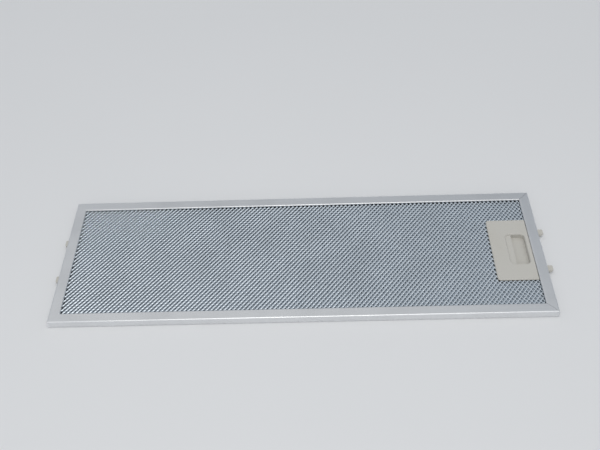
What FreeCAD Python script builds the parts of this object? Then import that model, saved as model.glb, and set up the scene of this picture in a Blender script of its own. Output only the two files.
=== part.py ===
import FreeCAD
import Part
import Sketcher
import math
import os
import re

# Cooker hood grease filter, lying face up: X along its length, Y across it, Z up.
# The origin is the middle of the frame, on the surface that it lies on.
# The latch is at the +X end and the two fixed lugs are at the -X end.

INNER_LAYERS = 4
SPRING_LEGS = 6
TOLERANCE = 1e-4
# An opening of a mesh sheet that its border leaves smaller than this stays closed;
# it is a share of the slit's width squared.
SMALLEST_OPENING = 0.5

# Driving sizes in millimetres: name, value, what it is
SIZES = (
    ("frame_length", 500.0, "outer length of the frame"),
    ("frame_width", 165.0, "outer width of the frame"),
    ("frame_depth", 8.5, "outer depth of the frame"),
    ("rail_face", 11.0, "width of each rail's face"),
    ("rail_wall", 0.6, "sheet that the rails are folded from"),
    ("edge_bend", 0.5, "inner radius of the fold between a face and the side"),
    ("lip_bend", 0.4, "inner radius of the fold at the inner edge of a face"),
    ("lip_straight", 0.3, "straight end of the lip that grips the mesh"),
    ("seam_gap", 0.15, "open seam at the mitred corners of the latch rail"),
    ("tab_length", 18.0, "corner tab that tucks into the long rail"),
    ("tab_margin", 0.4, "room above and below a corner tab"),
    ("sheet_inset", 3.0, "from the side of the frame to the edge of a mesh sheet"),
    ("sheet_border", 5.0, "unslit border of a mesh sheet, hidden in the rails"),
    ("cut_border", 1.8, "unslit border round the latch opening of a mesh sheet"),
    ("outer_sheet", 1.0, "depth of the front and the rear mesh"),
    ("lay_gap", 0.1, "clearance between pieces that lie on each other"),
    ("cut_gap", 0.4, "clearance between the latch tray and the mesh"),
    ("diamond_width", 6.0, "mesh opening along the filter"),
    ("diamond_length", 7.9, "mesh opening across the filter"),
    ("strand_width", 2.0, "strand of the outer mesh"),
    ("inner_pitch", 30.0, "strand spacing of the middle layers, along the filter"),
    ("inner_strand", 8.0, "strand of the middle layers"),
    ("plate_reach", 41.4, "latch plate, from the rail's inner edge"),
    ("plate_width", 82.5, "latch plate, across the filter"),
    ("plate_thick", 0.9, "latch plate, thickness"),
    ("plate_corner", 3.0, "latch plate, corner radius"),
    ("plate_bevel", 0.6, "bevelled outer edges of the latch plates"),
    ("plate_gap", 0.3, "gap between the latch plate and the rail"),
    ("plate_rim", 2.5, "rim of the latch plate outside the tray"),
    ("tray_wall", 1.2, "walls and ribs of the latch tray"),
    ("window_offset", 4.5, "from the rail's inner edge to the window"),
    ("window_corner", 4.5, "corner radius of the window and of the cup's back"),
    ("cup_width", 14.0, "finger cup, along the filter"),
    ("cup_length", 41.0, "finger cup, across the filter"),
    ("cup_corner", 1.0, "corner radius of the cup at its lip"),
    ("latch_travel", 6.0, "travel of the latch slider"),
    ("slider_wall", 1.0, "walls of the latch slider"),
    ("slide_gap", 0.3, "running clearance of the latch slider"),
    ("lip_tuck", 1.5, "slider lip that stays under the cover"),
    ("bar_shoulder", 2.0, "slider bar beyond each tongue"),
    ("tongue_spacing", 50.0, "between the middles of the two tongues"),
    ("tongue_width", 6.8, "latch tongue, across the filter"),
    ("tongue_thick", 3.0, "latch tongue, depth"),
    ("tongue_lead", 2.4, "length of the slope under a tongue's tip"),
    ("tongue_rise", 1.8, "rise of the slope under a tongue's tip"),
    ("tongue_round", 1.2, "rounded sides of a tongue's tip"),
    ("tongue_flush", 0.2, "how far a tongue draws inside the frame"),
    ("spring_strip", 1.2, "strip of a return spring, measured across the filter"),
    ("spring_height", 3.0, "height of a return spring"),
    ("spring_reach", 8.0, "width of a return spring, across the filter"),
    ("spring_spacing", 20.0, "between the two return springs"),
    ("guide_length", 6.0, "length of the guides beside a return spring"),
    ("post_side", 3.0, "fixing post of the latch cover, each side"),
    ("post_inset", 4.5, "from the tray's walls to the middle of a fixing post"),
    ("post_spacing", 18.0, "between the fixing posts, along the filter"),
    ("post_fit", 0.1, "clearance of a post in its socket"),
    ("socket_wall", 1.1, "wall of a post's socket"),
    ("socket_height", 4.2, "height of a socket above the tray's floor"),
    ("lug_spacing", 50.0, "between the middles of the two fixed lugs"),
    ("lug_width", 7.0, "fixed lug, across the filter"),
    ("lug_thick", 3.0, "fixed lug, depth"),
    ("lug_reach", 3.2, "fixed lug, beyond the frame"),
    ("lug_round", 1.0, "rounded tip of a fixed lug"),
    ("lug_shoulder", 3.0, "shoulder of a fixed lug, on each side"),
)
NAMES = {name for name, _, _ in SIZES}

# Places that several pieces share, as expressions of the sizes
HALF_LENGTH = "(frame_length / 2)"
HALF_WIDTH = "(frame_width / 2)"
LIP_DROP = "(rail_wall + lip_bend + lip_straight)"
PACK_TOP = f"(frame_depth - {LIP_DROP})"
END_SIDE = f"({HALF_LENGTH} - rail_wall)"
RAIL_EDGE = f"({HALF_LENGTH} - rail_face)"
SHEET_END = f"({END_SIDE} - sheet_inset)"
SHEET_SIDE = f"({HALF_WIDTH} - rail_wall - sheet_inset)"

PLATE_LEFT = f"({RAIL_EDGE} - plate_reach)"
PLATE_RIGHT = f"({RAIL_EDGE} - plate_gap)"
PLATE_SIDE = "(plate_width / 2)"
TRAY_LEFT = f"({PLATE_LEFT} + plate_rim)"
TRAY_INNER = f"({TRAY_LEFT} + tray_wall)"
TRAY_RIGHT = f"({END_SIDE} - lay_gap)"
TRAY_SIDE = f"({PLATE_SIDE} - plate_rim)"
TRAY_TOP = f"({PACK_TOP} - lay_gap)"
POST_LEFT = f"({TRAY_INNER} + post_inset)"
POST_SIDE = f"({TRAY_SIDE} - tray_wall - post_inset)"

CUP_RIGHT = f"({RAIL_EDGE} - window_offset)"
CUP_LEFT = f"({CUP_RIGHT} - cup_width)"
CUP_SIDE = "(cup_length / 2)"
CUP_OUTSIDE = f"({CUP_SIDE} + slider_wall)"
WINDOW_LEFT = f"({CUP_LEFT} - latch_travel)"
SLIDER_TOP = f"({PACK_TOP} - slide_gap)"
SLIDER_UNDER = f"({SLIDER_TOP} - slider_wall)"
SLIDER_LOW = f"({LIP_DROP} + slide_gap)"
SPRING_SEAT = f"({CUP_LEFT} - slider_wall)"
BAR_LEFT = f"({CUP_RIGHT} + slider_wall)"
BAR_RIGHT = f"({END_SIDE} - slide_gap)"
BAR_SIDE = "(tongue_spacing / 2 + tongue_width / 2 + bar_shoulder)"
TONGUE_LOW = f"({SLIDER_UNDER} - tongue_thick)"
TONGUE_TIP = f"({HALF_LENGTH} + latch_travel - tongue_flush)"
LUG_LEVEL = f"({SLIDER_UNDER} - tongue_thick / 2)"

doc = FreeCAD.newDocument("grease_filter")
sheet = doc.addObject("Spreadsheet::Sheet", "Sizes")
for row, (size_name, value, meaning) in enumerate(SIZES, 1):
    sheet.set(f"A{row}", size_name)
    sheet.set(f"B{row}", str(value))
    sheet.set(f"C{row}", meaning)
    sheet.setAlias(f"B{row}", size_name)
doc.recompute()


def tied(text):
    """Gives the expression with every size name pointing at the sheet."""
    return re.sub(r"[a-z_]+", lambda word: f"Sizes.{word[0]}" if word[0] in NAMES else word[0], text)


def size(text):
    """Gives the present value of an expression of the sizes."""
    return float(sheet.evalExpression(tied(text)))


def minus(text):
    """Gives the expression with its sign turned."""
    return f"-({text})"


# Sketches and features

def new_body(label):
    """Starts a sub-part."""
    body = doc.addObject("PartDesign::Body", label)
    body.Label = label
    return body


def sketch_on(body, role, offset=None):
    """Starts a sketch on one of the body's own planes, moved along that plane's normal."""
    sketch = body.newObject("Sketcher::SketchObject", f"{body.Label}_sketch")
    plane = next(feature for feature in body.Origin.OriginFeatures if feature.Role == role)
    sketch.AttachmentSupport = [(plane, "")]
    sketch.MapMode = "FlatFace"
    if offset:
        sketch.setExpression("AttachmentOffset.Base.z", tied(offset))
    return sketch


def place_point(sketch, line, end, axis, place):
    """Ties one coordinate of a line's end to an expression."""
    kind = "DistanceX" if axis == "x" else "DistanceY"
    index = sketch.addConstraint(Sketcher.Constraint(kind, -1, 1, line, end, size(place)))
    name = f"place_{index}"
    sketch.renameConstraint(index, name)
    sketch.setExpression(f"Constraints.{name}", tied(place))


def outline(sketch, sides):
    """Draws a closed outline whose straight sides turn at right angles.

    A side is (axis, place, corner): the coordinate that it keeps, where, and the radius of the
    corner at its end, or None where that corner is sharp.
    """
    count = len(sides)
    places = [size(place) for _, place, _ in sides]
    radii = [size(corner) if corner else 0.0 for _, _, corner in sides]
    ends = []
    for i, (axis, _, _) in enumerate(sides):
        here, following = places[i], places[(i + 1) % count]
        x, y = (here, following) if axis == "x" else (following, here)
        ends.append(FreeCAD.Vector(x, y, 0))
    ways = [(ends[i] - ends[i - 1]).normalize() for i in range(count)]
    lines = []
    for i, (axis, place, _) in enumerate(sides):
        start = ends[i - 1] + ways[i] * radii[i - 1]
        end = ends[i] - ways[i] * radii[i]
        line = sketch.addGeometry(Part.LineSegment(start, end))
        sketch.addConstraint(Sketcher.Constraint("Vertical" if axis == "x" else "Horizontal", line))
        place_point(sketch, line, 1, axis, place)
        lines.append(line)
    for i, (_, _, corner) in enumerate(sides):
        line, following = lines[i], lines[(i + 1) % count]
        if corner:
            turn = ways[(i + 1) % count]
            round_corner(sketch, line, following, ends[i], ways[i], turn, corner)
        else:
            sketch.addConstraint(Sketcher.Constraint("Coincident", line, 2, following, 1))


def round_corner(sketch, line, following, point, way, turn, corner):
    """Joins two sides of an outline by an arc that is tangent to both."""
    radius = size(corner)
    centre = point - way * radius + turn * radius
    left_turn = way.x * turn.y - way.y * turn.x > 0
    first, last = (-turn, way) if left_turn else (way, -turn)
    angles = [math.atan2(spoke.y, spoke.x) for spoke in (first, last)]
    circle = Part.Circle(centre, FreeCAD.Vector(0, 0, 1), radius)
    arc = sketch.addGeometry(Part.ArcOfCircle(circle, *angles))
    arc_start, arc_end = (1, 2) if left_turn else (2, 1)
    sketch.addConstraint(Sketcher.Constraint("Tangent", line, 2, arc, arc_start))
    sketch.addConstraint(Sketcher.Constraint("Tangent", arc, arc_end, following, 1))
    index = sketch.addConstraint(Sketcher.Constraint("Radius", arc, radius))
    name = f"corner_{index}"
    sketch.renameConstraint(index, name)
    sketch.setExpression(f"Constraints.{name}", tied(corner))


def polygon(sketch, points, closed=True):
    """Draws straight lines through points given as pairs of expressions."""
    spots = [FreeCAD.Vector(size(x), size(y), 0) for x, y in points]
    count = len(points) if closed else len(points) - 1
    following = spots[1:] + spots[:1]
    lines = [sketch.addGeometry(Part.LineSegment(spots[i], following[i])) for i in range(count)]
    for i in range(count if closed else count - 1):
        sketch.addConstraint(Sketcher.Constraint("Coincident", lines[i], 2, lines[(i + 1) % count], 1))
    for i, (x, y) in enumerate(points):
        line, end = (lines[i], 1) if i < count else (lines[-1], 2)
        place_point(sketch, line, end, "x", x)
        place_point(sketch, line, end, "y", y)


def box_outline(sketch, left, right, low, high):
    """Draws a plain rectangle."""
    outline(sketch, (("y", high, None), ("x", left, None), ("y", low, None), ("x", right, None)))


def pad(body, sketch, length, backward=False, symmetric=False):
    """Gives a sketch its depth."""
    feature = body.newObject("PartDesign::Pad", f"{body.Label}_pad")
    feature.Profile = sketch
    feature.setExpression("Length", tied(length))
    feature.Reversed = backward
    feature.SideType = "Symmetric" if symmetric else "One side"
    doc.recompute()
    return feature


def pocket(body, sketch, length=None, backward=False):
    """Cuts a sketch out of the body, right through unless a depth is given."""
    before = body.Tip.Shape.Volume
    feature = body.newObject("PartDesign::Pocket", f"{body.Label}_pocket")
    feature.Profile = sketch
    feature.Reversed = backward
    if length:
        feature.Type = "Length"
        feature.setExpression("Length", tied(length))
    else:
        feature.Type = "ThroughAll"
        feature.SideType = "Symmetric"
    doc.recompute()
    if feature.Shape.isNull() or feature.Shape.Volume > before - TOLERANCE:
        raise RuntimeError(f"{feature.Label} cuts nothing")
    return feature


def soften_edges(body, kind, amount, chosen):
    """Puts a Fillet or a Chamfer on the edges of the body that the test picks."""
    base = body.Tip
    names = [f"Edge{i}" for i, edge in enumerate(base.Shape.Edges, 1) if chosen(edge.BoundBox)]
    feature = body.newObject(f"PartDesign::{kind}", f"{body.Label}_edges")
    feature.Base = (base, names)
    feature.setExpression("Radius" if kind == "Fillet" else "Size", tied(amount))
    doc.recompute()
    return feature


def near(first, second):
    """Tells whether two measures are the same."""
    return abs(first - second) < TOLERANCE


# Frame

def channel_section(sketch, outer, inner, inward):
    """Draws the section of a rail: a side, two faces, and a lip turned in at the edge of each face.

    outer and inner are the outer side and the inner edge of the rail; inward is the sign that
    leads from the first to the second.
    """
    side = f"({outer} + {inward} * rail_wall)"
    lip = f"({inner} - {inward} * rail_wall)"
    edge_outside = "(edge_bend + rail_wall)"
    lip_outside = "(lip_bend + rail_wall)"
    outline(sketch, (
        ("x", outer, edge_outside),
        ("y", "frame_depth", lip_outside),
        ("x", inner, None),
        ("y", PACK_TOP, None),
        ("x", lip, "lip_bend"),
        ("y", "frame_depth - rail_wall", "edge_bend"),
        ("x", side, "edge_bend"),
        ("y", "rail_wall", "lip_bend"),
        ("x", lip, None),
        ("y", LIP_DROP, None),
        ("x", inner, lip_outside),
        ("y", "0", edge_outside),
    ))


def side_slots(body, spacing, width, thick, level):
    """Cuts the two slots that lugs or tongues pass through in an end of the frame."""
    sketch = sketch_on(body, "YZ_Plane")
    low = f"{level} - {thick} / 2 - slide_gap"
    high = f"{level} + {thick} / 2 + slide_gap"
    for sign in ("-", "+"):
        middle = f"({sign}{spacing} / 2)"
        half = f"({width} / 2 + slide_gap)"
        box_outline(sketch, f"{middle} - {half}", f"{middle} + {half}", low, high)
    pocket(body, sketch)


def mitre_corner(sketch, sign, along_end):
    """Draws what the mitre takes off a rail at a right corner: off the end rail, or off a long rail."""
    reach = "(2 * rail_face)"
    outer_x, outer_y = HALF_LENGTH, f"({sign} * {HALF_WIDTH})"
    if along_end:
        outer_y = f"({sign} * ({HALF_WIDTH} - seam_gap))"
        far = (f"{outer_x} - {reach}", f"{outer_y} + {sign} * {reach}")
    else:
        outer_x = f"({HALF_LENGTH} - seam_gap)"
        far = (f"{outer_x} + {reach}", f"{outer_y} - {sign} * {reach}")
    along = (f"{outer_x} - {reach}", f"{outer_y} - {sign} * {reach}")
    beyond = (f"{outer_x} + {reach}", f"{outer_y} + {sign} * {reach}")
    polygon(sketch, (beyond, along, far))


def frame_channel():
    """One channel folded round the back, the left end and the front."""
    body = new_body("frame_channel")
    section = sketch_on(body, "YZ_Plane", HALF_LENGTH)
    channel_section(section, HALF_WIDTH, f"({HALF_WIDTH} - rail_face)", "-1")
    route = sketch_on(body, "XY_Plane")
    polygon(route, (
        (HALF_LENGTH, HALF_WIDTH),
        (minus(HALF_LENGTH), HALF_WIDTH),
        (minus(HALF_LENGTH), minus(HALF_WIDTH)),
        (HALF_LENGTH, minus(HALF_WIDTH)),
    ), closed=False)
    doc.recompute()
    fold = body.newObject("PartDesign::AdditivePipe", "frame_channel_fold")
    fold.Profile = section
    fold.Spine = route
    fold.Transition = "Right corner"
    doc.recompute()
    mitres = sketch_on(body, "XY_Plane")
    for sign in ("-1", "1"):
        mitre_corner(mitres, sign, along_end=False)
    pocket(body, mitres)
    side_slots(body, "lug_spacing", "lug_width", "lug_thick", LUG_LEVEL)
    return body


def latch_rail():
    """The rail at the latch end, mitred to the folded channel, with a tab inside each corner."""
    body = new_body("latch_rail")
    section = sketch_on(body, "XZ_Plane")
    channel_section(section, HALF_LENGTH, RAIL_EDGE, "-1")
    pad(body, section, "frame_width", symmetric=True)
    mitres = sketch_on(body, "XY_Plane")
    for sign in ("-1", "1"):
        mitre_corner(mitres, sign, along_end=True)
    pocket(body, mitres)
    side_slots(body, "tongue_spacing", "tongue_width", "tongue_thick", LUG_LEVEL)
    tabs = sketch_on(body, "XY_Plane", f"{LIP_DROP} + tab_margin")
    for sign in ("-1", "1"):
        outside = f"({sign} * ({HALF_WIDTH} - rail_wall - lay_gap))"
        inside = f"({sign} * ({HALF_WIDTH} - 2 * rail_wall - lay_gap))"
        low, high = (outside, inside) if sign == "-1" else (inside, outside)
        box_outline(tabs, f"{END_SIDE} - tab_length", f"{END_SIDE} + rail_wall / 2", low, high)
    pad(body, tabs, f"frame_depth - 2 * ({LIP_DROP} + tab_margin)")
    return body


# Mesh pack

def flat(corners):
    """Gives the flat face inside straight lines through the corners."""
    points = [FreeCAD.Vector(x, y, 0) for x, y in corners]
    return Part.Face(Part.makePolygon(points + points[:1]))


def sheet_area(border, cut_border):
    """Gives a mesh sheet's area inside a border: a rectangle with the latch cut out of one end."""
    end = size(f"{SHEET_END} - {border}")
    side = size(f"{SHEET_SIDE} - {border}")
    cut_left = size(f"{TRAY_LEFT} - cut_gap - {cut_border}")
    cut_side = size(f"{TRAY_SIDE} + cut_gap + {cut_border}")
    bay = [(end, -cut_side), (cut_left, -cut_side), (cut_left, cut_side), (end, cut_side)]
    return flat([(-end, side), (-end, -side), (end, -side), *bay, (end, side)])


def slit_openings(pitch, strand, lean):
    """Gives the openings of an expanded sheet, as flat faces cut off at its border."""
    field = sheet_area("sheet_border", "cut_border")
    end, side = field.BoundBox.XMax, field.BoundBox.YMax
    run = 2 * side * size("diamond_width / diamond_length")
    slant = size("sqrt(diamond_width ^ 2 + diamond_length ^ 2) / diamond_length")
    step = size(pitch)
    opening = step - size(strand) * slant
    count = math.floor((2 * end + run - opening) / step) + 1
    left = -((count - 1) * step + opening + run) / 2
    openings = []
    for i in range(count):
        front, back = (left + i * step, left + i * step + run)[::lean]
        slit = flat([(front, -side), (front + opening, -side), (back + opening, side), (back, side)])
        pieces_inside = slit.common(field).Faces
        openings += [piece for piece in pieces_inside if piece.Area > SMALLEST_OPENING * opening ** 2]
    return openings


def mesh_sheet(label, level, depth, pitch, strand, lean):
    """One expanded sheet: slits opened between slanting strands, and the border round them.

    lean is 1 where the strands go to the right as they go back, and -1 where they go left.
    """
    blank = doc.addObject("Part::Feature", f"{label}_blank")
    areas = [sheet_area("0", "0")] + slit_openings(pitch, strand, lean)
    face = Part.Face([area.OuterWire for area in areas])
    face.validate()
    blank.Shape = face
    body = doc.addObject("Part::Extrusion", label)
    body.Label = label
    body.Base = blank
    body.DirMode = "Custom"
    body.Dir = FreeCAD.Vector(0, 0, 1)
    body.Solid = True
    body.setExpression("LengthFwd", tied(depth))
    body.setExpression("Placement.Base.z", tied(level))
    doc.recompute()
    return body


def mesh_pack():
    """The rear mesh, the layers laid crosswise on it, and the front mesh."""
    rear = f"({LIP_DROP} + lay_gap)"
    front = f"({PACK_TOP} - lay_gap - outer_sheet)"
    between = f"({front} - {rear} - outer_sheet)"
    layer = f"(({between} - lay_gap) / {INNER_LAYERS} - lay_gap)"
    fine, wide = ("diamond_width", "strand_width"), ("inner_pitch", "inner_strand")
    sheets = [mesh_sheet("rear_mesh", rear, "outer_sheet", *fine, -1)]
    for i in range(INNER_LAYERS):
        level = f"{rear} + outer_sheet + lay_gap + {i} * ({layer} + lay_gap)"
        slits = fine if i == INNER_LAYERS - 1 else wide
        lean = -1 if (INNER_LAYERS - i) % 2 else 1
        sheets.append(mesh_sheet(f"inner_mesh_{i + 1}", level, layer, *slits, lean))
    sheets.append(mesh_sheet("front_mesh", front, "outer_sheet", *fine, 1))
    return sheets


# Latch

def plate_outline(sketch):
    """Draws the plate that shows on each face of the latch, rounded at its free corners."""
    outline(sketch, (
        ("y", PLATE_SIDE, "plate_corner"),
        ("x", PLATE_LEFT, "plate_corner"),
        ("y", minus(PLATE_SIDE), None),
        ("x", PLATE_RIGHT, None),
    ))


def post_outlines(sketch, half):
    """Draws a square at each place where a post of the cover goes into a socket of the tray."""
    for x in (POST_LEFT, f"({POST_LEFT} + post_spacing)"):
        for y in (minus(POST_SIDE), POST_SIDE):
            box_outline(sketch, f"{x} - {half}", f"{x} + {half}", f"{y} - {half}", f"{y} + {half}")


def latch_cover():
    """The plate round the finger cup, with its window and four posts."""
    body = new_body("latch_cover")
    plate = sketch_on(body, "XY_Plane", PACK_TOP)
    plate_outline(plate)
    pad(body, plate, "plate_thick")
    window = sketch_on(body, "XY_Plane", PACK_TOP)
    outline(window, (
        ("y", CUP_SIDE, "window_corner"),
        ("x", WINDOW_LEFT, "window_corner"),
        ("y", minus(CUP_SIDE), "window_corner"),
        ("x", CUP_RIGHT, "window_corner"),
    ))
    pocket(body, window)
    top = size(f"{PACK_TOP} + plate_thick")
    soften_edges(body, "Chamfer", "plate_bevel", lambda box: near(box.ZMin, top) and near(box.ZMax, top))
    posts = sketch_on(body, "XY_Plane", PACK_TOP)
    post_outlines(posts, "(post_side / 2)")
    pad(body, posts, f"{PACK_TOP} - {LIP_DROP} - lay_gap", backward=True)
    return body


def latch_base():
    """The tray behind the cover: rear plate, walls, ribs beside the cup, spring guides and sockets."""
    body = new_body("latch_base")
    plate = sketch_on(body, "XY_Plane", f"{LIP_DROP} - plate_thick")
    plate_outline(plate)
    pad(body, plate, "plate_thick")
    low = size(f"{LIP_DROP} - plate_thick")
    soften_edges(body, "Chamfer", "plate_bevel", lambda box: near(box.ZMin, low) and near(box.ZMax, low))
    height = f"{TRAY_TOP} - {LIP_DROP}"
    walls = sketch_on(body, "XY_Plane", LIP_DROP)
    outline(walls, (
        ("y", TRAY_SIDE, None),
        ("x", TRAY_LEFT, None),
        ("y", minus(TRAY_SIDE), None),
        ("x", TRAY_RIGHT, None),
        ("y", minus(f"{TRAY_SIDE} - tray_wall"), None),
        ("x", TRAY_INNER, None),
        ("y", f"{TRAY_SIDE} - tray_wall", None),
        ("x", TRAY_RIGHT, None),
    ))
    pad(body, walls, height)
    ribs = sketch_on(body, "XY_Plane", LIP_DROP)
    rib_end = f"{BAR_LEFT} - latch_travel - 2 * slide_gap"
    near_side, far_side = f"({CUP_OUTSIDE} + slide_gap)", f"({CUP_OUTSIDE} + slide_gap + tray_wall)"
    box_outline(ribs, f"{TRAY_INNER} - tray_wall / 2", rib_end, near_side, far_side)
    box_outline(ribs, f"{TRAY_INNER} - tray_wall / 2", rib_end, minus(far_side), minus(near_side))
    pad(body, ribs, height)
    guides = sketch_on(body, "XY_Plane", LIP_DROP)
    inside, outside = "(spring_reach / 2 + slide_gap)", "(spring_reach / 2 + slide_gap + tray_wall)"
    for middle in ("-spring_spacing / 2", "spring_spacing / 2"):
        for low, high in ((minus(outside), minus(inside)), (inside, outside)):
            box_outline(guides, f"{TRAY_INNER} - tray_wall / 2", f"{TRAY_INNER} + guide_length",
                        f"{middle} + {low}", f"{middle} + {high}")
    pad(body, guides, f"{SLIDER_UNDER} - slide_gap - {LIP_DROP}")
    sockets = sketch_on(body, "XY_Plane", LIP_DROP)
    post_outlines(sockets, "(post_side / 2 + post_fit)")
    post_outlines(sockets, "(post_side / 2 + post_fit + socket_wall)")
    pad(body, sockets, "socket_height")
    return body


def latch_slider():
    """The sliding piece: finger cup, lip, cross bar and the two tongues."""
    body = new_body("latch_slider")
    plate = sketch_on(body, "XY_Plane", SLIDER_UNDER)
    outline(plate, (
        ("y", CUP_OUTSIDE, None),
        ("x", f"{WINDOW_LEFT} - lip_tuck", None),
        ("y", minus(CUP_OUTSIDE), None),
        ("x", BAR_LEFT, None),
        ("y", minus(BAR_SIDE), None),
        ("x", BAR_RIGHT, None),
        ("y", BAR_SIDE, None),
        ("x", BAR_LEFT, None),
    ))
    pad(body, plate, "slider_wall")
    cup = sketch_on(body, "XY_Plane", SLIDER_LOW)
    box_outline(cup, SPRING_SEAT, BAR_LEFT, minus(CUP_OUTSIDE), CUP_OUTSIDE)
    pad(body, cup, f"{SLIDER_UNDER} - {SLIDER_LOW}")
    rib = sketch_on(body, "XY_Plane", TONGUE_LOW)
    rib_left, rib_right = f"{BAR_LEFT} - slider_wall / 2", f"{BAR_LEFT} + slider_wall"
    box_outline(rib, rib_left, rib_right, minus(BAR_SIDE), BAR_SIDE)
    pad(body, rib, "tongue_thick")
    for sign in ("-", "+"):
        tongue = sketch_on(body, "XZ_Plane", f"({sign}tongue_spacing / 2)")
        polygon(tongue, (
            (BAR_LEFT, SLIDER_UNDER),
            (BAR_LEFT, TONGUE_LOW),
            (f"{TONGUE_TIP} - tongue_lead", TONGUE_LOW),
            (TONGUE_TIP, f"{TONGUE_LOW} + tongue_rise"),
            (TONGUE_TIP, SLIDER_UNDER),
        ))
        pad(body, tongue, "tongue_width", symmetric=True)
    tip = size(TONGUE_TIP)
    upright = size("tongue_thick - tongue_rise")
    soften_edges(
        body, "Fillet", "tongue_round", lambda box: near(box.XMin, tip) and near(box.ZLength, upright)
    )
    hollow = sketch_on(body, "XY_Plane", SLIDER_TOP)
    outline(hollow, (
        ("y", CUP_SIDE, "cup_corner"),
        ("x", CUP_LEFT, "cup_corner"),
        ("y", minus(CUP_SIDE), "window_corner"),
        ("x", CUP_RIGHT, "window_corner"),
    ))
    pocket(body, hollow, f"{SLIDER_TOP} - {SLIDER_LOW} - slider_wall")
    return body


def return_spring(label, middle):
    """One zigzag strip spring between the tray and the cup."""
    body = new_body(label)
    strip = sketch_on(body, "XY_Plane", f"{LIP_DROP} + lay_gap")
    start = f"({TRAY_INNER} + lay_gap)"
    step = f"(({SPRING_SEAT} - lay_gap - {start}) / {SPRING_LEGS})"
    near_turn, far_turn = "spring_reach / 2", "(spring_reach / 2 - spring_strip)"
    turns = []
    for i in range(SPRING_LEGS + 1):
        turn = f"- {near_turn}" if i % 2 else f"+ {far_turn}"
        turns.append((f"{start} + {i} * {step}", f"{middle} {turn}"))
    polygon(strip, turns + [(x, f"{y} + spring_strip") for x, y in reversed(turns)])
    pad(body, strip, "spring_height")
    return body


# Fixed lugs

def locating_lug(label, middle):
    """A lug that stands out of the left end, held by a shoulder inside the channel."""
    body = new_body(label)
    shoulder = sketch_on(body, "YZ_Plane", f"-({END_SIDE} - lay_gap)")
    half = "(lug_width / 2 + lug_shoulder)"
    tall = "(frame_depth / 2 - rail_wall - edge_bend)"
    box_outline(shoulder, minus(half), half, f"frame_depth / 2 - {tall}", f"frame_depth / 2 + {tall}")
    pad(body, shoulder, "sheet_inset - 2 * lay_gap")
    stem = sketch_on(body, "YZ_Plane", minus(f"{HALF_LENGTH} + lug_reach"))
    low, high = f"{LUG_LEVEL} - lug_thick / 2", f"{LUG_LEVEL} + lug_thick / 2"
    box_outline(stem, "-lug_width / 2", "lug_width / 2", low, high)
    pad(body, stem, "lug_reach + rail_wall + sheet_inset / 2")
    tip = size(minus(f"{HALF_LENGTH} + lug_reach"))
    thick = size("lug_thick")
    soften_edges(body, "Fillet", "lug_round", lambda box: near(box.XMax, tip) and near(box.ZLength, thick))
    body.setExpression("Placement.Base.y", tied(middle))
    return body


pieces = [frame_channel(), latch_rail()]
pieces += mesh_pack()
pieces += [latch_cover(), latch_base(), latch_slider()]
pieces.append(return_spring("return_spring_front", "-spring_spacing / 2"))
pieces.append(return_spring("return_spring_back", "spring_spacing / 2"))
pieces.append(locating_lug("locating_lug_front", "-lug_spacing / 2"))
pieces.append(locating_lug("locating_lug_back", "lug_spacing / 2"))
doc.recompute()

for item in doc.Objects:
    if "Invalid" in item.State or "Error" in item.State:
        raise RuntimeError(f"{item.Label} failed: {item.State}")
for piece in pieces:
    if piece.Shape.isNull() or not piece.Shape.isValid() or len(piece.Shape.Solids) != 1:
        raise RuntimeError(f"{piece.Label} is not one sound solid")

os.makedirs("parts", exist_ok=True)
for piece in pieces:
    piece.Shape.exportStep(f"parts/{piece.Label}.step")
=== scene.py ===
import logging
import math
from dataclasses import dataclass
from enum import Enum
from typing import Mapping, Sequence, Union

import bmesh
import bpy
from mathutils import Matrix, Vector


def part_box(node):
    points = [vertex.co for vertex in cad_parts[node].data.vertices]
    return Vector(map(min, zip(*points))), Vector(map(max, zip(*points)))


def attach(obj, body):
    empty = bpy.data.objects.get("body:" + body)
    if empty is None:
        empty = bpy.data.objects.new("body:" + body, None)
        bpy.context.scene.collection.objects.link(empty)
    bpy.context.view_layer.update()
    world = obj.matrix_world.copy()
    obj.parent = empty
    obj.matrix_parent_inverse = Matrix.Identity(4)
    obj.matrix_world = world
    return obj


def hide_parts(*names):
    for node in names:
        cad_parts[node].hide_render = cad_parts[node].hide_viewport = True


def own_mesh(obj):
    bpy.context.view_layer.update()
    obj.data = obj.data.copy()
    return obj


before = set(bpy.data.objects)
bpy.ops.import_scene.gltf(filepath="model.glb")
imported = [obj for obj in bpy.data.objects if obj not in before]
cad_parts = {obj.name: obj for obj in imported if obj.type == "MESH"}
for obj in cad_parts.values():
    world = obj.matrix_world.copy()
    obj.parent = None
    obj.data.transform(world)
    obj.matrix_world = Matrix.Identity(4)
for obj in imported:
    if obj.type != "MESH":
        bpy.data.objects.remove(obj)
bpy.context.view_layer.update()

MM = 0.001
NOISE_MIDDLE = 0.5
LOG = logging.getLogger("grease_filter")

Colour = tuple[float, float, float]
Triple = tuple[float, float, float]
Edge = tuple[float, float]


class Body(Enum):
    """The bodies that pieces ride on."""

    FILTER = "filter"
    LATCH = "latch"


class Slot(Enum):
    """Material slot names for the pieces that stand for CAD nodes."""

    MESH = "mesh_aluminium"
    SPRING = "spring_steel"


class Facing(Enum):
    """Which way the faces of a mesh sheet's strands are turned, across the filter."""

    FRONT = -1
    BACK = 1


class Slant(Enum):
    """Which way a strand goes as it goes back."""

    RIGHT = 1
    LEFT = -1


class Outside(Enum):
    """The side of a mesh sheet that its strands' flat faces are on."""

    TOP = 1
    UNDERSIDE = -1


# Node trees

Source = Union["Value", bpy.types.NodeSocket, bpy.types.ID, Sequence[float], float]


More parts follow.
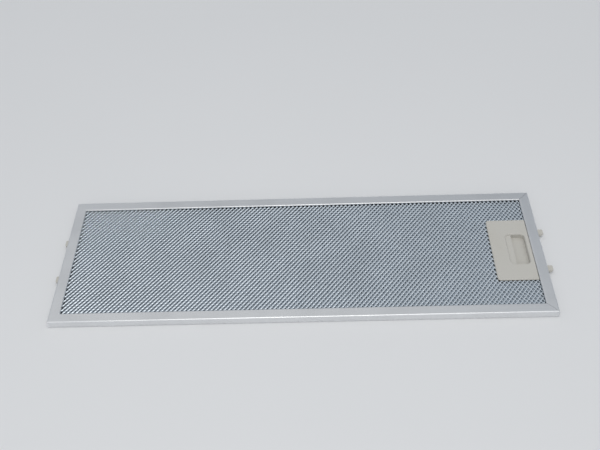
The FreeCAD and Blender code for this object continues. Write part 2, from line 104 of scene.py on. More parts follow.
class Graph:
    """A node tree, with the one method that adds its nodes.

    A Mix node has sockets of the same name for each type of data, so its colours go by number.
    """

    MIX_COLOURS = (6, 7)
    MIX_RESULT = 2

    def __init__(self, tree: bpy.types.NodeTree) -> None:
        """Starts from an empty tree."""
        self.tree = tree
        tree.nodes.clear()

    def node(
        self,
        kind: str,
        settings: Mapping[str, object] | None = None,
        sockets: Mapping[str | int, Source] | None = None,
    ) -> bpy.types.Node:
        """Adds a node.

        Args:
            kind: The node's type.
            settings: Its settings, which are set first.
            sockets: The value or link of each input, by name or number.

        Returns:
            The node.
        """
        made = self.tree.nodes.new(kind)
        for key, setting in (settings or {}).items():
            setattr(made, key, setting)
        for key, source in (sockets or {}).items():
            self.feed(made, key, source)
        return made

    def feed(self, node: bpy.types.Node, key: str | int, source: Source) -> None:
        """Links a socket or sets its value.

        Args:
            node: The node that takes it.
            key: The input's name or number.
            source: A Value, an output socket, or a constant.
        """
        if isinstance(source, Value):
            source = source.socket
        if isinstance(source, bpy.types.NodeSocket):
            self.tree.links.new(source, node.inputs[key])
        else:
            node.inputs[key].default_value = source

    def axes(self, place: bpy.types.NodeSocket) -> tuple["Value", "Value", "Value"]:
        """Splits a vector.

        Args:
            place: The vector's socket.

        Returns:
            X, Y and Z.
        """
        parts = self.node("ShaderNodeSeparateXYZ", sockets={"Vector": place}).outputs
        return Value(self, parts["X"]), Value(self, parts["Y"]), Value(self, parts["Z"])

    def blend(self, share: "Value", first: Source, second: Source) -> bpy.types.NodeSocket:
        """Mixes two colours.

        Args:
            share: How much of the second colour there is.
            first: The first colour, or a colour socket.
            second: The second colour, or a colour socket.

        Returns:
            The mixed colour's socket.
        """
        mix = self.node("ShaderNodeMix", {"data_type": "RGBA"}, {"Factor": share})
        for key, colour in zip(self.MIX_COLOURS, (first, second)):
            self.feed(mix, key, (*colour, 1.0) if isinstance(colour, tuple) else colour)
        return mix.outputs[self.MIX_RESULT]


class Value:
    """A number that changes from place to place; its operators add Math nodes."""

    def __init__(self, graph: Graph, socket: bpy.types.NodeSocket) -> None:
        """Wraps an output socket."""
        self.graph = graph
        self.socket = socket

    def _math(self, operation: str, *terms: "Value | float") -> "Value":
        """Adds one Math node.

        Args:
            operation: The node's operation.
            terms: Its inputs in order.

        Returns:
            The node's result.
        """
        node = self.graph.node("ShaderNodeMath", {"operation": operation}, dict(enumerate(terms)))
        return Value(self.graph, node.outputs[0])

    def __add__(self, other: "Value | float") -> "Value":
        """self + other."""
        return self._math("ADD", self, other)

    def __radd__(self, other: float) -> "Value":
        """other + self."""
        return self._math("ADD", other, self)

    def __sub__(self, other: "Value | float") -> "Value":
        """self - other."""
        return self._math("SUBTRACT", self, other)

    def __rsub__(self, other: float) -> "Value":
        """other - self."""
        return self._math("SUBTRACT", other, self)

    def __mul__(self, other: "Value | float") -> "Value":
        """self * other."""
        return self._math("MULTIPLY", self, other)

    def __rmul__(self, other: float) -> "Value":
        """other * self."""
        return self._math("MULTIPLY", other, self)

    def __lt__(self, other: "Value | float") -> "Value":
        """1 where self is below other, else 0."""
        return self._math("LESS_THAN", self, other)

    def __gt__(self, other: "Value | float") -> "Value":
        """1 where self is above other, else 0."""
        return self._math("GREATER_THAN", self, other)

    def __abs__(self) -> "Value":
        """The size of self, without its sign."""
        return self._math("ABSOLUTE", self)

    def smaller(self, other: "Value | float") -> "Value":
        """The smaller of self and other."""
        return self._math("MINIMUM", self, other)

    def step(self, low: float, high: float) -> "Value":
        """Makes a smooth step.

        Args:
            low: Where the step starts, at 0.
            high: Where it ends, at 1.

        Returns:
            The step's height, from 0 to 1.
        """
        node = self.graph.node(
            "ShaderNodeMapRange",
            {"interpolation_type": "SMOOTHSTEP"},
            {"Value": self, "From Min": low, "From Max": high},
        )
        return Value(self.graph, node.outputs["Result"])


class Shade(Graph):
    """The node tree of one procedural material."""

    def __init__(self, name: str) -> None:
        """Starts a material with its shader.

        Args:
            name: The material's name.
        """
        self.material = bpy.data.materials.new(name)
        self.material.use_nodes = True
        super().__init__(self.material.node_tree)
        self.shader = self.node("ShaderNodeBsdfPrincipled")
        self.node("ShaderNodeOutputMaterial", sockets={"Surface": self.shader.outputs["BSDF"]})
        self.place = self.node("ShaderNodeTexCoord").outputs["Object"]

    def noise(self, per_metre: Sequence[float], detail: float = 2.0) -> Value:
        """Makes a cloudy pattern.

        Args:
            per_metre: How many patches fit in a metre, along each axis.
            detail: How many finer layers it has.

        Returns:
            The pattern, from 0 to 1.
        """
        spot = self.node("ShaderNodeVectorMath", {"operation": "MULTIPLY"}, {0: self.place, 1: per_metre})
        cloud = self.node(
            "ShaderNodeTexNoise", sockets={"Vector": spot.outputs["Vector"], "Scale": 1.0, "Detail": detail}
        )
        return Value(self, cloud.outputs["Fac"])

    def relief(self, height: Value, depth: float, strength: float) -> bpy.types.NodeSocket:
        """Roughens the surface.

        Args:
            height: The relief, from 0 to 1.
            depth: How deep the relief is, in metres.
            strength: How strongly it shows.

        Returns:
            The roughened normal's socket.
        """
        return self.node(
            "ShaderNodeBump", sockets={"Strength": strength, "Distance": depth, "Height": height}
        ).outputs["Normal"]

    def finish(self, **inputs: Source) -> bpy.types.Material:
        """Feeds the shader.

        Args:
            inputs: The shader's inputs, with an underscore for each space.

        Returns:
            The material.
        """
        for key, source in inputs.items():
            self.feed(self.shader, key.replace("_", " "), source)
        return self.material


# Finishes

@dataclass(frozen=True)
class RailFinish:
    """Satin drawn aluminium: die lines along each rail, soft clouding, and a lighter colour near the
    frame's outer edges.
    """

    colour: Colour = (0.765, 0.775, 0.785)
    outer_edge_colour: Colour = (0.84, 0.85, 0.86)
    clouded: Colour = (0.70, 0.71, 0.72)
    roughness: float = 0.40
    lines_per_metre: float = 1600.0
    along_per_metre: float = 5.0
    line_roughness: float = 0.16
    line_depth: float = 0.04 * MM
    line_strength: float = 0.35
    clouds_per_metre: float = 28.0
    cloud_detail: float = 3.0
    cloud_edge: Edge = (0.35, 0.75)
    cloud_roughness: float = 0.1
    outer_edge_width: float = 1.4 * MM
    outer_edge_share: float = 0.6

    def build(self, half_length: float, half_width: float) -> bpy.types.Material:
        """Makes the material.

        Args:
            half_length: Half the frame's length, in metres.
            half_width: Half the frame's width, in metres.

        Returns:
            The material.
        """
        shade = Shade("drawn_aluminium")
        x, y, _ = shade.axes(shade.place)
        from_end, from_side = half_length - abs(x), half_width - abs(y)
        across, along = self.lines_per_metre, self.along_per_metre
        long_lines = shade.noise((along, across, across))
        end_lines = shade.noise((across, along, across))
        lines = long_lines + (from_end < from_side) * (end_lines - long_lines)
        clouds = shade.noise((self.clouds_per_metre,) * 3, self.cloud_detail)
        # lighter colour in a narrow band along the frame's outer edges
        near_outer_edge = 1.0 - from_end.smaller(from_side).step(0.0, self.outer_edge_width)
        body = shade.blend(clouds.step(*self.cloud_edge), self.colour, self.clouded)
        lined = (lines - NOISE_MIDDLE) * self.line_roughness
        return shade.finish(
            Base_Color=shade.blend(near_outer_edge * self.outer_edge_share, body, self.outer_edge_colour),
            Metallic=1.0,
            Roughness=self.roughness + lined + (clouds - NOISE_MIDDLE) * self.cloud_roughness,
            Normal=shade.relief(lines, self.line_depth, self.line_strength),
        )


@dataclass(frozen=True)
class MeshFinish:
    """Bright rolled sheet, slit and stretched: no two strands alike, duller in patches."""

    name: str
    colour: Colour
    dull: Colour
    dull_edge: Edge = (0.38, 0.66)
    dull_roughness: float = 0.14
    roughness: float = 0.26
    patches_per_metre: float = 420.0
    patch_detail: float = 1.0
    patch_share: float = 0.6
    clouds_per_metre: float = 24.0
    cloud_detail: float = 3.0
    cloud_share: float = 0.4
    rolling_per_metre: float = 5200.0
    rolling_depth: float = 0.03 * MM
    rolling_strength: float = 0.25

    def build(self) -> bpy.types.Material:
        """Makes the material.

        Returns:
            The material.
        """
        shade = Shade(self.name)
        patches = shade.noise((self.patches_per_metre,) * 3, self.patch_detail)
        clouds = shade.noise((self.clouds_per_metre,) * 3, self.cloud_detail)
        dulled = (patches * self.patch_share + clouds * self.cloud_share).step(*self.dull_edge)
        rolling = shade.noise((self.rolling_per_metre,) * 3)
        return shade.finish(
            Base_Color=shade.blend(dulled, self.colour, self.dull),
            Metallic=1.0,
            Roughness=self.roughness + dulled * self.dull_roughness,
            Normal=shade.relief(rolling, self.rolling_depth, self.rolling_strength),
        )


@dataclass(frozen=True)
class PlasticFinish:
    """Pale moulded plastic: fine spark grain, faint flow marks and slight yellowing."""

    colour: Colour = (0.545, 0.53, 0.487)
    aged: Colour = (0.52, 0.50, 0.445)
    aged_edge: Edge = (0.4, 0.8)
    aged_share: float = 0.7
    roughness: float = 0.46
    grain_per_metre: float = 2600.0
    grain_detail: float = 3.0
    grain_roughness: float = 0.2
    grain_depth: float = 0.03 * MM
    grain_strength: float = 0.3
    flow_per_metre: Triple = (45.0, 18.0, 45.0)

    def build(self) -> bpy.types.Material:
        """Makes the material.

        Returns:
            The material.
        """
        shade = Shade("moulded_plastic")
        grain = shade.noise((self.grain_per_metre,) * 3, self.grain_detail)
        yellowed = shade.noise(self.flow_per_metre).step(*self.aged_edge) * self.aged_share
        return shade.finish(
            Base_Color=shade.blend(yellowed, self.colour, self.aged),
            Roughness=self.roughness + (grain - NOISE_MIDDLE) * self.grain_roughness,
            Normal=shade.relief(grain, self.grain_depth, self.grain_strength),
        )


@dataclass(frozen=True)
class SpringFinish:
    """Plain spring strip: blued grey steel with rolling marks."""

    colour: Colour = (0.52, 0.53, 0.55)
    blued: Colour = (0.34, 0.36, 0.41)
    blued_edge: Edge = (0.35, 0.7)
    roughness: float = 0.32
    marks_per_metre: Triple = (300.0, 300.0, 2400.0)
    mark_detail: float = 3.0
    mark_roughness: float = 0.12

    def build(self) -> bpy.types.Material:
        """Makes the material.

        Returns:
            The material.
        """
        shade = Shade("strip_steel")
        marks = shade.noise(self.marks_per_metre, self.mark_detail)
        return shade.finish(
            Base_Color=shade.blend(marks.step(*self.blued_edge), self.colour, self.blued),
            Metallic=1.0,
            Roughness=self.roughness + marks * self.mark_roughness,
        )


@dataclass(frozen=True)
class FloorFinish:
    """A plain pale studio floor."""

    colour: Colour = (0.76, 0.765, 0.77)
    shaded: Colour = (0.74, 0.745, 0.75)
    roughness: float = 0.8
    clouds_per_metre: float = 3.0

    def build(self) -> bpy.types.Material:
        """Makes the material.

        Returns:
            The material.
        """
        shade = Shade("studio_floor")
        clouds = shade.noise((self.clouds_per_metre,) * 3)
        return shade.finish(
            Base_Color=shade.blend(clouds, self.colour, self.shaded),
            Roughness=self.roughness,
        )


# Pieces

def dress(node: str, material: bpy.types.Material) -> None:
    """Gives a CAD node its finish.

    Args:
        node: The node's name.
        material: The finish.
    """
    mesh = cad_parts[node].data
    mesh.materials.clear()
    mesh.materials.append(material)
    LOG.info("%s takes %s", node, material.name)


def settle(piece: bpy.types.Object, node: str, body: Body) -> None:
    """Puts a finished piece in the place of its CAD node.

    Args:
        piece: The piece, at the origin.
        node: The CAD node that it stands for.
        body: The body that it rides on.
    """
    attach(piece, body.value)
    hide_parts(node)
    LOG.info("%s stands for %s, %d faces", piece.name, node, len(piece.data.polygons))


def new_piece(name: str, mesh: bpy.types.Mesh) -> bpy.types.Object:
    """Adds a mesh to the scene.

    Args:
        name: The object's name.
        mesh: Its mesh.

    Returns:
        The object, at the origin.
    """
    piece = bpy.data.objects.new(name, mesh)
    bpy.context.scene.collection.objects.link(piece)
    return piece


def closed_mesh(name: str, sections: Sequence[Sequence[Vector]]) -> bpy.types.Mesh:
    """Joins sections into one closed strip.

    Args:
        name: The mesh's name.
        sections: The strip's sections in order, each a ring of corners.

    Returns:
        The mesh, with its faces turned outwards.
    """
    shell = bmesh.new()
    rings = [[shell.verts.new(corner) for corner in section] for section in sections]
    shell.faces.new(rings[0])
    shell.faces.new(rings[-1])
    for near, far in zip(rings, rings[1:]):
        for k in range(len(near)):
            shell.faces.new((near[k - 1], near[k], far[k], far[k - 1]))
    bmesh.ops.recalc_face_normals(shell, faces=shell.faces)
    mesh = bpy.data.meshes.new(name)
    shell.to_mesh(mesh)
    shell.free()
    return mesh


# Mesh pack

@dataclass(frozen=True)
class Strand:
    """The section of a strand: how wide it is, and how far it turns on its own length."""

    bond_width: float
    middle_width: float
    bond_turn: float
    middle_turn: float

    def at(self, share: float) -> tuple[float, float]:
        """Gives the section between two bonds.

        Args:
            share: The place, from 0 at one bond to 1 at the next.

        Returns:
            The width there, and the turn.
        """
        away = math.sin(math.pi * share)
        width = self.bond_width + (self.middle_width - self.bond_width) * away
        return width, self.bond_turn + (self.middle_turn - self.bond_turn) * away


@dataclass(frozen=True)
class Expansion:
    """How a slit sheet is stretched: the pitch of its openings and the strands round them.

    Each strand is a thin ribbon between two bonds. It lies nearly flat at the bonds and turns on its own
    length between them, and the strands of one slant lie flatter than the others.
    """

    column_pitch: float = 4.47 * MM
    row_pitch: float = 5.88 * MM
    thickness: float = 0.22 * MM
    flat_strand: Strand = Strand(1.45 * MM, 1.02 * MM, math.radians(8.0), math.radians(24.0))
    steep_strand: Strand = Strand(1.05 * MM, 0.66 * MM, math.radians(20.0), math.radians(54.0))
    stations: int = 3

    def sections(
        self, slant: Slant, facing: Facing, flatter: Slant, outside: Outside
    ) -> list[list[Vector]]:
        """Gives the corners of a strand's section at each of its stations: a flat face and a blunt keel.

        Args:
            slant: Which way the strand goes.
            facing: Which way its face is turned.
            flatter: The slant of the strands that lie flatter.
            outside: The side that its flat face is on.

        Returns:
            The corners, station by station.
        """
        strand = self.flat_strand if slant is flatter else self.steep_strand
        run = Vector((slant.value * self.column_pitch / 2, self.row_pitch / 2, 0.0))
        across = Vector((-run.y, run.x, 0.0)).normalized()
        across *= math.copysign(1.0, across.y * facing.value)
        corners = []
        for i in range(self.stations):
            share = i / (self.stations - 1)
            width, turn = strand.at(share)
            normal = Vector((0.0, 0.0, math.cos(turn))) + across * math.sin(turn)
            edge = across * math.cos(turn) - Vector((0.0, 0.0, math.sin(turn)))
            half_width, half_depth = edge * width / 2, normal * outside.value * self.thickness / 2
            middle = run * (share - 0.5)
            face = middle + half_depth
            corners.append([face - half_width, face + half_width, middle - half_depth])
        return corners


class LatticeTree(Graph):
    """The Geometry Nodes tree that lays strands over a sheet, leaving the latch's bay open."""

    INPUTS = (
        ("Right Strand", "NodeSocketObject"),
        ("Left Strand", "NodeSocketObject"),
        ("Material", "NodeSocketMaterial"),
        ("Column Pitch", "NodeSocketFloat"),
        ("Row Pitch", "NodeSocketFloat"),
        ("Columns", "NodeSocketInt"),
        ("Rows", "NodeSocketInt"),
        ("Column Shift", "NodeSocketFloat"),
        ("Row Shift", "NodeSocketFloat"),
        ("Half Length", "NodeSocketFloat"),
        ("Half Width", "NodeSocketFloat"),
        ("Bay Left", "NodeSocketFloat"),
        ("Bay Half Width", "NodeSocketFloat"),
        ("Level", "NodeSocketFloat"),
        ("Wave", "NodeSocketFloat"),
        ("Jitter", "NodeSocketFloat"),
        ("Seed", "NodeSocketInt"),
    )
    QUARTER = 0.25
    HALF_STEPS = (0.0, 0.5)
    WAVES_PER_METRE = 14.0
    WAVE_DETAIL = 1.0
    LEAST_TURN = (-1.0, -1.0, 0.0)
    MOST_TURN = (1.0, 1.0, 0.0)

    def __init__(self) -> None:
        """Builds the tree."""
        super().__init__(bpy.data.node_groups.new("strand_lattice", "GeometryNodeTree"))
        for name, kind in self.INPUTS:
            self.tree.interface.new_socket(name, in_out="INPUT", socket_type=kind)
        self.tree.interface.new_socket("Geometry", in_out="OUTPUT", socket_type="NodeSocketGeometry")
        self.inputs = self.node("NodeGroupInput").outputs
        joined = self.node("GeometryNodeJoinGeometry")
        for strand, slant in (("Right Strand", Slant.RIGHT), ("Left Strand", Slant.LEFT)):
            middles = self.wavy(self.trimmed(self.middles(slant)))
            self.feed(joined, "Geometry", self.strands_on(middles, self.inputs[strand]))
        real = self.node("GeometryNodeRealizeInstances", sockets={"Geometry": joined.outputs["Geometry"]})
        dressed = self.node("GeometryNodeSetMaterial", sockets={
            "Geometry": real.outputs["Geometry"],
            "Material": self.inputs["Material"],
        })
        self.node("NodeGroupOutput", sockets={"Geometry": dressed.outputs["Geometry"]})

    def given(self, name: str) -> Value:
        """A named input, as a number."""
        return Value(self, self.inputs[name])

    def middles(self, slant: Slant) -> bpy.types.NodeSocket:
        """Lays out the middles of the strands of one slant.

        They lie a quarter pitch from the bonds. The bonds are a grid, shifted as the sheet lies, and a
        second one in the middles of its squares.

        Args:
            slant: Which way the strands go.

        Returns:
            The points' socket.
        """
        column, row = self.given("Column Pitch"), self.given("Row Pitch")
        grid = self.node("GeometryNodeMeshGrid", sockets={
            "Size X": column * (self.given("Columns") - 1.0),
            "Size Y": row * (self.given("Rows") - 1.0),
            "Vertices X": self.inputs["Columns"],
            "Vertices Y": self.inputs["Rows"],
        }).outputs["Mesh"]
        joined = self.node("GeometryNodeJoinGeometry")
        for half_step in self.HALF_STEPS:
            step = self.node("ShaderNodeCombineXYZ", sockets={
                "X": column * (self.given("Column Shift") + (half_step + slant.value * self.QUARTER)),
                "Y": row * (self.given("Row Shift") + (half_step + self.QUARTER)),
            }).outputs["Vector"]
            moved = self.node("GeometryNodeTransform", sockets={"Geometry": grid, "Translation": step})
            self.feed(joined, "Geometry", moved.outputs["Geometry"])
        return joined.outputs["Geometry"]

    def trimmed(self, points: bpy.types.NodeSocket) -> bpy.types.NodeSocket:
        """Takes away the strands that would leave the sheet or cross the latch's bay.

        Args:
            points: The middles of all the strands.

        Returns:
            The middles of those that stay.
        """
        x, y, _ = self.axes(self.node("GeometryNodeInputPosition").outputs["Position"])
        reach, spread = self.given("Column Pitch") * self.QUARTER, self.given("Row Pitch") * self.QUARTER
        past_end = abs(x) + reach > self.given("Half Length")
        past_side = abs(y) + spread > self.given("Half Width")
        at_latch = x + reach > self.given("Bay Left")
        between_sides = abs(y) - spread < self.given("Bay Half Width")
        unwanted = past_end + past_side + at_latch * between_sides
        return self.node(
            "GeometryNodeDeleteGeometry", {"domain": "POINT"}, {"Geometry": points, "Selection": unwanted}
        ).outputs["Geometry"]

    def wavy(self, points: bpy.types.NodeSocket) -> bpy.types.NodeSocket:
        """Lifts the strands to the sheet's level, with a slight unevenness.

        Args:
            points: The flat middles.

        Returns:
            The lifted middles.
        """
        cloud = self.node("ShaderNodeTexNoise", sockets={
            "Scale": self.WAVES_PER_METRE,
            "Detail": self.WAVE_DETAIL,
        })
        uneven = (Value(self, cloud.outputs["Fac"]) - NOISE_MIDDLE) * self.given("Wave")
        lift = self.node("ShaderNodeCombineXYZ", sockets={"Z": uneven + self.given("Level")})
        return self.node("GeometryNodeSetPosition", sockets={
            "Geometry": points,
            "Offset": lift.outputs["Vector"],
        }).outputs["Geometry"]

    def strands_on(
        self, points: bpy.types.NodeSocket, strand: bpy.types.NodeSocket
    ) -> bpy.types.NodeSocket:
        """Puts a strand on each point, each turned a little differently.

        Args:
            points: The strands' middles.
            strand: The strand's object.

        Returns:
            The strands.
        """
        shape = self.node("GeometryNodeObjectInfo", sockets={"Object": strand})
        spread = self.node(
            "FunctionNodeRandomValue",
            {"data_type": "FLOAT_VECTOR"},
            {0: self.LEAST_TURN, 1: self.MOST_TURN, "Seed": self.inputs["Seed"]},
        ).outputs["Value"]
        turn = self.node(
            "ShaderNodeVectorMath", {"operation": "SCALE"}, {0: spread, "Scale": self.inputs["Jitter"]}
        )
        return self.node("GeometryNodeInstanceOnPoints", sockets={
            "Points": points,
            "Instance": shape.outputs["Geometry"],
            "Rotation": turn.outputs["Vector"],
        }).outputs["Instances"]

    def grow(self, name: str, settings: Mapping[str, object]) -> bpy.types.Object:
        """Runs the tree and keeps its result as a plain mesh.

        Args:
            name: The piece's name.
            settings: The value of each named input.

        Returns:
            The piece.
        """
        seed_object = new_piece(f"{name}_seed", bpy.data.meshes.new(f"{name}_seed"))
        modifier = seed_object.modifiers.new("lattice", "NODES")
        modifier.node_group = self.tree
        sockets = self.tree.interface.items_tree
        keys = {socket.name: socket.identifier for socket in sockets if socket.in_out == "INPUT"}
        for key, setting in settings.items():
            modifier[keys[key]] = setting
        graph = bpy.context.evaluated_depsgraph_get()
        mesh = bpy.data.meshes.new_from_object(seed_object.evaluated_get(graph))
        bpy.data.objects.remove(seed_object)
        mesh.name = name
        return new_piece(name, mesh)


@dataclass(frozen=True)
class MeshSheet:
    """One expanded sheet of the pack, in the place of its CAD node."""

    node: str
    facing: Facing
    flatter: Slant
    outside: Outside
    expansion: Expansion
    seed: int
    column_shift: float = 0.0
    row_shift: float = 0.0
    edge_room: float = 0.8 * MM
    plate_overlap: float = 1.8 * MM
    wave: float = 0.08 * MM
    jitter: float = math.radians(0.8)

    def build(self, lattice: LatticeTree, material: bpy.types.Material) -> None:
        """Makes the sheet.

        Args:
            lattice: The tree that lays out its strands.
            material: Its finish.
        """
        low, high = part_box(self.node)
        plate_low, plate_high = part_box("latch_cover")
        column_pitch, row_pitch = self.expansion.column_pitch, self.expansion.row_pitch
        right, left = self.strand(Slant.RIGHT), self.strand(Slant.LEFT)
        piece = lattice.grow(f"{self.node}_strands", {
            "Right Strand": right,
            "Left Strand": left,
            "Material": material,
            "Column Pitch": column_pitch,
            "Row Pitch": row_pitch,
            "Columns": math.ceil((high.x - low.x) / column_pitch) + 1,
            "Rows": math.ceil((high.y - low.y) / row_pitch) + 1,
            "Column Shift": self.column_shift,
            "Row Shift": self.row_shift,
            "Half Length": high.x - self.edge_room,
            "Half Width": high.y - self.edge_room,
            "Bay Left": plate_low.x + self.plate_overlap,
            "Bay Half Width": plate_high.y - self.plate_overlap,
            "Level": (low.z + high.z) / 2,
            "Wave": self.wave,
            "Jitter": self.jitter,
            "Seed": self.seed,
        })
        bpy.data.objects.remove(right)
        bpy.data.objects.remove(left)
        settle(piece, self.node, Body.FILTER)

    def strand(self, slant: Slant) -> bpy.types.Object:
        """Makes one strand, with its middle at the origin.

        Args:
            slant: Which way it goes.

        Returns:
            The strand's object.
        """
        name = f"{self.node}_strand_{slant.name.lower()}"
        sections = self.expansion.sections(slant, self.facing, self.flatter, self.outside)
        return new_piece(name, closed_mesh(name, sections))


@dataclass(frozen=True)
class MeshPack:
    """The outer sheets and the layers between them; the layers between are painted darker, as painted
    shade.
    """

    outer: Expansion = Expansion()
    inner: Expansion = Expansion(thickness=0.18 * MM, stations=2)
    inner_shifts: Sequence[tuple[float, float]] = ((0.0, 0.0), (0.75, 0.25), (0.5, 0.0), (0.25, 0.25))
    # The mesh colours are the aluminium's own grey with a blue tint added, a painted reflection of a blue
    # backdrop.
    bright: MeshFinish = MeshFinish("stretched_aluminium", (0.72, 0.78, 0.835), (0.60, 0.655, 0.705))
    # painted shade: the layers between the outer sheets are the same aluminium, painted darker to stand in
    # for the shade they lie in
    shaded: MeshFinish = MeshFinish("shaded_aluminium", (0.49, 0.55, 0.605), (0.39, 0.445, 0.49))

    def build(self) -> None:
        """Makes every sheet; the layers between the outer ones face to the front and back in turn."""
        lattice = LatticeTree()
        bright, shaded = self.bright.build(), self.shaded.build()
        front = MeshSheet("front_mesh", Facing.FRONT, Slant.RIGHT, Outside.TOP, self.outer, seed=1)
        rear = MeshSheet("rear_mesh", Facing.BACK, Slant.LEFT, Outside.UNDERSIDE, self.outer, seed=2)
        front.build(lattice, bright)
        rear.build(lattice, bright)
        for i, shifts in enumerate(self.inner_shifts, 1):
            facing, flatter = (Facing.FRONT, Slant.RIGHT) if i % 2 else (Facing.BACK, Slant.LEFT)
            seed = rear.seed + i
            layer = MeshSheet(f"inner_mesh_{i}", facing, flatter, Outside.TOP, self.inner, seed, *shifts)
            # the layers between take the darker finish, painted shade
            layer.build(lattice, shaded)


# Latch and lugs

@dataclass(frozen=True)
class ReturnSpring:
    """A zigzag strip spring; its pressed share is the share of its length that would be left when the latch
    is drawn back.
    """

    node: str
    legs: int = 6
    steps_per_leg: int = 6
    strip: float = 1.2 * MM
    sharpness: float = 0.96
    pressed_share: float = 0.667

    def line(self, low: Vector, high: Vector) -> list[tuple[float, float]]:
        """Gives the strip's near edge, as a zigzag with rounded turns.

        Args:
            low: The lowest corner of the spring's box.
            high: Its highest corner.

        Returns:
            Points along the edge.
        """
        count = self.legs * self.steps_per_leg
        reach = (high.y - low.y - self.strip) / 2
        middle = low.y + reach
        points = []
        for i in range(count + 1):
            phase = math.pi * i / self.steps_per_leg
            sway = math.asin(self.sharpness * math.cos(phase)) / math.asin(self.sharpness)
            points.append((low.x + (high.x - low.x) * i / count, middle + reach * sway))
        return points

    def build(self, material: bpy.types.Material) -> None:
        """Makes the spring.

        Args:
            material: Its finish.
        """
        low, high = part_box(self.node)
        sections = []
        for x, y in self.line(low, high):
            far = y + self.strip
            ring = ((y, low.z), (far, low.z), (far, high.z), (y, high.z))
            sections.append([Vector((x, *corner)) for corner in ring])
        mesh = closed_mesh(f"{self.node}_strip", sections)
        mesh.materials.append(material)
        piece = new_piece(f"{self.node}_strip", mesh)
        settle(piece, self.node, Body.FILTER)
        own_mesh(piece)


@dataclass(frozen=True)
class Latch:
    """The cover, the tray, the slider and its two springs."""

    shells: Sequence[str] = ("latch_cover", "latch_base", "latch_slider")
    springs: Sequence[str] = ("return_spring_front", "return_spring_back")
    steel: SpringFinish = SpringFinish()

    def build(self, plastic: bpy.types.Material) -> None:
        """Dresses the moulded pieces and makes the springs.

        Args:
            plastic: The finish of the moulded pieces.
        """
        for node in self.shells:
            dress(node, plastic)
        steel = self.steel.build()
        for node in self.springs:
            ReturnSpring(node).build(steel)


@dataclass(frozen=True)
class Lugs:
    """The two fixed lugs at the other end."""

    nodes: Sequence[str] = ("locating_lug_front", "locating_lug_back")

    def build(self, plastic: bpy.types.Material) -> None:
        """Dresses the lugs in the latch's plastic."""
        for node in self.nodes:
            dress(node, plastic)


# Frame

@dataclass(frozen=True)
class Rails:
    """The folded channel and the rail at the latch end."""

    nodes: Sequence[str] = ("frame_channel", "latch_rail")
    finish: RailFinish = RailFinish()

    def build(self) -> None:
        """Dresses the rails."""
        _, channel_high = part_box("frame_channel")
        _, rail_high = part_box("latch_rail")
        drawn = self.finish.build(rail_high.x, channel_high.y)
        for node in self.nodes:
            dress(node, drawn)


# Studio

@dataclass(frozen=True)
class Lamp:
    """A soft box that points at the filter."""

    name: str
    place: Triple
    length: float
    width: float
    watts: float
    colour: Colour

    def build(self, target: Vector) -> None:
        """Hangs the lamp.

        Args:
            target: The point that it faces.
        """
        data = bpy.data.lights.new(self.name, "AREA")
        data.shape = "RECTANGLE"
        data.size = self.length
        data.size_y = self.width
        data.energy = self.watts
        data.color = self.colour
        lamp = bpy.data.objects.new(self.name, data)
        lamp.location = self.place
        lamp.rotation_euler = (target - Vector(self.place)).to_track_quat("-Z", "Y").to_euler()
        bpy.context.scene.collection.objects.link(lamp)


@dataclass(frozen=True)
class SkyPatch:
    """A soft-edged part of the sky with a tone of its own: a soft box, a fill or a grey flag."""

    name: str
    way: Triple
    edge: Edge
    colour: Colour


@dataclass(frozen=True)
class Viewpoint:
    """The camera, with its place and angles found by fitting the frame's edges in the photograph."""

    focal_pixels: float = 801.02
    image_pixels: float = 600.0
    azimuth: float = math.radians(-2.205)
    elevation: float = math.radians(46.434)
    roll: float = math.radians(-3.006)
    target: Triple = (-1.519 * MM, 49.218 * MM, 0.0)
    distance: float = 875.62 * MM
    sensor: float = 36.0

    def build(self) -> None:
        """Sets up the camera."""
        level = math.cos(self.elevation)
        ahead = Vector((
            math.sin(self.azimuth) * level,
            math.cos(self.azimuth) * level,
            -math.sin(self.elevation),
        ))
        right = Vector((math.cos(self.azimuth), -math.sin(self.azimuth), 0.0))
        up = right.cross(ahead)
        turned_right = right * math.cos(self.roll) + up * math.sin(self.roll)
        turned_up = up * math.cos(self.roll) - right * math.sin(self.roll)
        data = bpy.data.cameras.new("viewpoint")
        data.sensor_width = self.sensor
        data.lens = self.sensor * self.focal_pixels / self.image_pixels
        camera = bpy.data.objects.new("viewpoint", data)
        place = Vector(self.target) - ahead * self.distance
        turn = Matrix((turned_right, turned_up, -ahead)).transposed()
        camera.matrix_world = Matrix.Translation(place) @ turn.to_4x4()
        bpy.context.scene.collection.objects.link(camera)
        bpy.context.scene.camera = camera


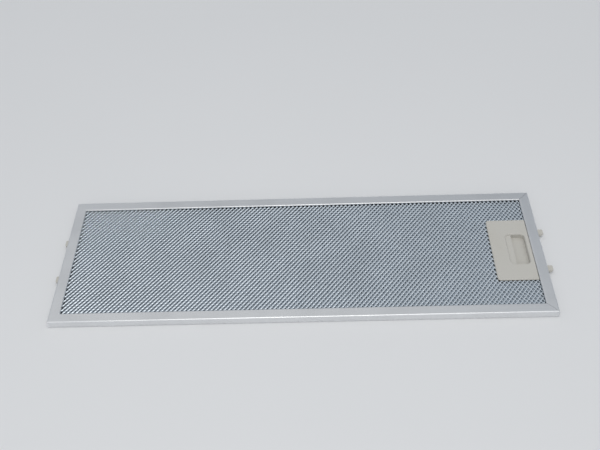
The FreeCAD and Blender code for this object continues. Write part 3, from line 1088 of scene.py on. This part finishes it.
@dataclass(frozen=True)
class Studio:
    """The floor, the soft light and the camera."""

    floor_half: float = 4.0
    floor_drop: float = 0.05 * MM
    floor_finish: FloorFinish = FloorFinish()
    sky_strength: float = 1.07
    sky_high: Colour = (0.80, 0.80, 0.80)
    sky_low: Colour = (0.40, 0.43, 0.47)
    sky_way: Triple = (0.14, 0.30, 0.94)
    sky_edge: Edge = (0.45, 1.0)
    patches: Sequence[SkyPatch] = (
        SkyPatch("soft_box", (0.34, 0.10, 0.935), (0.86, 0.98), (1.33, 1.33, 1.33)),
        SkyPatch("front_fill", (0.0, -0.80, 0.60), (0.45, 0.95), (0.74, 0.75, 0.77)),
        SkyPatch("low_flag", (-0.12, 0.86, 0.50), (0.92, 0.99), (0.26, 0.29, 0.33)),
        SkyPatch("back_flag", (0.45, 0.68, 0.58), (0.84, 0.98), (0.27, 0.30, 0.34)),
        SkyPatch("right_flag", (0.75, 0.30, 0.59), (0.90, 0.98), (0.40, 0.43, 0.46)),
    )
    lamps: Sequence[Lamp] = (
        Lamp("overhead_lamp", (-0.06, -0.55, 1.25), 0.5, 0.5, 3.6, (1.0, 0.99, 0.97)),
    )
    lamp_target: Triple = (0.0, 0.0, 0.0)
    viewpoint: Viewpoint = Viewpoint()

    def floor(self) -> None:
        """Lays the floor."""
        half = self.floor_half
        corners = [(-half, -half), (half, -half), (half, half), (-half, half)]
        mesh = bpy.data.meshes.new("studio_floor")
        mesh.from_pydata([(x, y, -self.floor_drop) for x, y in corners], [], [(0, 1, 2, 3)])
        mesh.materials.append(self.floor_finish.build())
        floor = new_piece("studio_floor", mesh)

    @staticmethod
    def towards(graph: Graph, way: Triple) -> Value:
        """Measures how nearly a place in the sky lies in one direction.

        Args:
            graph: The sky's node tree.
            way: The direction.

        Returns:
            1 in that direction, 0 square to it.
        """
        place = graph.node("ShaderNodeTexCoord").outputs["Generated"]
        dot = graph.node("ShaderNodeVectorMath", {"operation": "DOT_PRODUCT"}, {0: place, 1: way})
        return Value(graph, dot.outputs["Value"])

    def sky(self) -> None:
        """Lights the room softly from above, with a soft box, a fill in front, and grey flags."""
        world = bpy.data.worlds.new("studio_sky")
        world.use_nodes = True
        graph = Graph(world.node_tree)
        height = self.towards(graph, self.sky_way).step(*self.sky_edge)
        colour = graph.blend(height, self.sky_low, self.sky_high)
        for patch in self.patches:
            share = self.towards(graph, patch.way).step(*patch.edge)
            colour = graph.blend(share, colour, patch.colour)
            LOG.info("the sky takes %s", patch.name)
        light = graph.node("ShaderNodeBackground", sockets={"Color": colour, "Strength": self.sky_strength})
        graph.node("ShaderNodeOutputWorld", sockets={"Surface": light.outputs["Background"]})
        bpy.context.scene.world = world

    def build(self) -> None:
        """Sets up the studio."""
        bpy.context.scene.view_settings.view_transform = "Standard"
        self.floor()
        self.sky()
        for lamp in self.lamps:
            lamp.build(Vector(self.lamp_target))
        self.viewpoint.build()


def main() -> None:
    """Builds the filter's looks and the studio round it."""
    logging.basicConfig(level=logging.INFO, format="%(name)s: %(message)s")
    Rails().build()
    MeshPack().build()
    plastic = PlasticFinish().build()
    Latch().build(plastic)
    Lugs().build(plastic)
    Studio().build()


if __name__ == "__main__":
    main()
